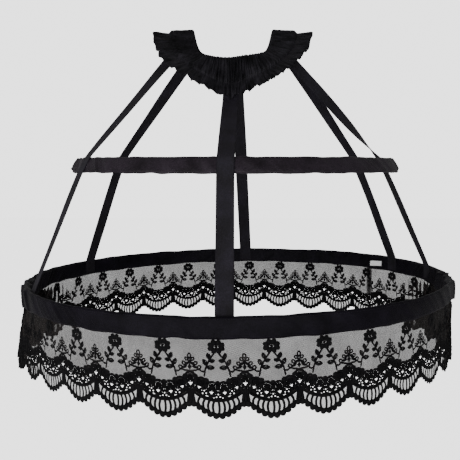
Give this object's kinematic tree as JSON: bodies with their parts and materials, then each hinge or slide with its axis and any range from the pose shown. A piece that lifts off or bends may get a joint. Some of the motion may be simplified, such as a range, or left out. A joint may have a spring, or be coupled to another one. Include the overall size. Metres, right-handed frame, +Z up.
{
  "type": "crinoline cage",
  "caption": "Hoop cage petticoat: a gathered elastic waist, tape straps over boned hoops, and a scalloped lace edging under the lower hoop.",
  "frame": {"origin": "centre of the waist opening, level with the front of the waist edge", "axes": "+Z up along the wearer's body, -Y towards the wearer's front, +X to the viewer's right"},
  "size_m": [0.7002, 0.6999, 0.5387],
  "materials": {
    "gathered_cotton": "black cotton drawn into fine gathers",
    "elastic_webbing": "black woven elastic",
    "grosgrain_tape": "black ribbed tape with a soft sheen",
    "cotton_sateen": "black sateen, lightly wrinkled",
    "boning": "flat plastic boning",
    "crimped_metal": "crimped sheet steel",
    "embroidered_net": "black thread embroidery on fine black net",
    "label_satin": "blank white satin tab"
  },
  "bodies": {
    "root": {"waistband": "gathered_cotton", "waist_elastic": "elastic_webbing", "front_strap": "grosgrain_tape", "left_front_strap": "grosgrain_tape", "left_back_strap": "grosgrain_tape", "back_strap": "grosgrain_tape", "right_back_strap": "grosgrain_tape", "right_front_strap": "grosgrain_tape", "upper_casing": "cotton_sateen", "lower_casing": "cotton_sateen", "upper_bone": "boning", "lower_bone": "boning", "upper_bone_sleeve": "crimped_metal", "lower_bone_sleeve": "crimped_metal", "lace_trim": "embroidered_net", "care_label": "label_satin"}
  },
  "joints": []
}
